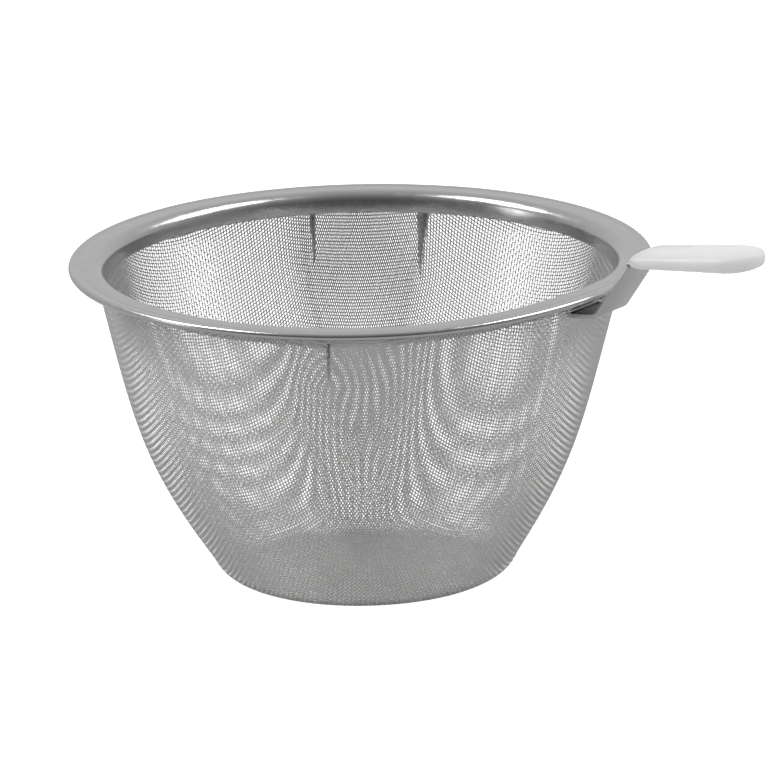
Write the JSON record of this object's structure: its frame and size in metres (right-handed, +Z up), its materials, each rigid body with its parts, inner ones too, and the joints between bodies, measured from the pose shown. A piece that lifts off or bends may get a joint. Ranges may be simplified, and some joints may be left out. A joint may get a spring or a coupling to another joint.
{
  "type": "basket strainer",
  "caption": "Deep woven-wire strainer basket on a flanged steel rim that rests on a cup or pot, with a raised side handle and plastic grip.",
  "frame": {"origin": "centre of the basket's flat bottom, on the surface it stands on", "axes": "+Z up, towards the open mouth; +X along the handle, away from the basket"},
  "size_m": [0.1119, 0.085, 0.0586],
  "materials": {
    "polished_steel": "smooth rolled stainless sheet",
    "wire_cloth": "bright stainless wire, plain weave",
    "white_plastic": "milky white moulded plastic, slightly translucent"
  },
  "bodies": {
    "root": {"rim_ring": "polished_steel", "mesh_basket": "wire_cloth", "retaining_band": "polished_steel", "handle_strap": "polished_steel", "grip": "white_plastic"}
  },
  "joints": []
}
